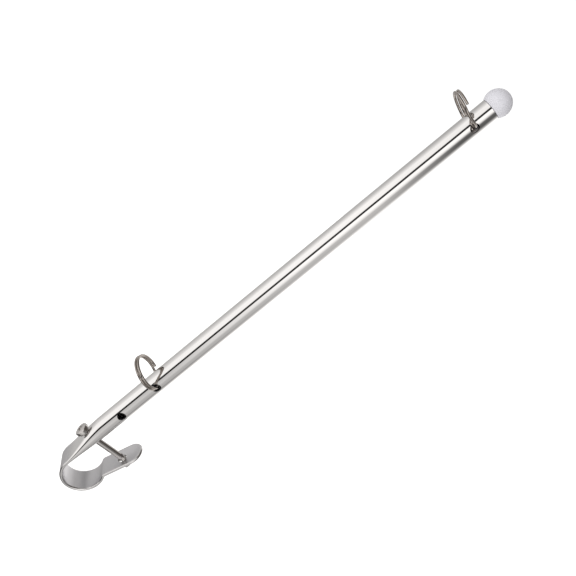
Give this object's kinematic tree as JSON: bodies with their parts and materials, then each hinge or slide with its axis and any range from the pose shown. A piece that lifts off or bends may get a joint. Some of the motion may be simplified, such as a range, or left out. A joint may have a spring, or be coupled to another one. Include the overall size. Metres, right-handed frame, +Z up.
{
  "type": "rail-mount boat flag staff",
  "caption": "Upright tube with a pressed-flat lower end bent into an open rail clamp, a clamp screw and nut, split rings for a flag and a ball cap.",
  "frame": {"origin": "centre of the rail in the clamp's loop, on the rail's axis, half way across the strap", "axes": "+Z up the tube, +Y along the rail, +X from the tube towards the clamp's tongue and along the clamp screw"},
  "size_m": [0.0563, 0.0243, 0.3697],
  "materials": {
    "polished_tube": "mirror-polished stainless steel",
    "clamp_strap": "satin stainless steel with bright edges",
    "fasteners": "bright turned stainless steel",
    "ring_wire": "bright spring steel wire",
    "ball_plastic": "frosted white moulded plastic"
  },
  "bodies": {
    "pole": {"pole_tube": "polished_tube", "ball_cap": "ball_plastic"},
    "tongue": {"clamp_tongue": "clamp_strap"},
    "screw": {"clamp_screw": "fasteners", "spring_washer": "fasteners"},
    "nut": {"clamp_nut": "fasteners"},
    "lower_ring": {"lower_split_ring": "ring_wire"},
    "upper_ring": {"upper_split_ring": "ring_wire"}
  },
  "joints": [
    {"name": "screw_turn", "type": "hinge", "parent": "pole", "child": "screw", "pos_m": [-0.0135, 0, 0.022], "axis": [1, 0, 0], "range_deg": [0, 1260]},
    {"name": "nut_travel", "type": "slide", "parent": "pole", "child": "nut", "axis": [-1, 0, 0], "range_m": [0, 0.00285]},
    {"name": "tongue_close", "type": "hinge", "parent": "pole", "child": "tongue", "pos_m": [0, 0, -0.0135], "axis": [0, -1, 0], "range_deg": [0, 4.2]},
    {"name": "lower_ring_swing", "type": "hinge", "parent": "pole", "child": "lower_ring", "pos_m": [-0.0135, 0, 0.0815], "axis": [0, 1, 0], "range_deg": [-70, 48]},
    {"name": "upper_ring_swing", "type": "hinge", "parent": "pole", "child": "upper_ring", "pos_m": [-0.0135, 0, 0.3285], "axis": [0, 1, 0], "range_deg": [-68, 48]}
  ],
  "couplings": [
    {"joint": "nut_travel", "follows": "screw_turn", "m_per_rad": 0.00012633},
    {"joint": "tongue_close", "follows": "screw_turn", "ratio": 0.00317}
  ]
}
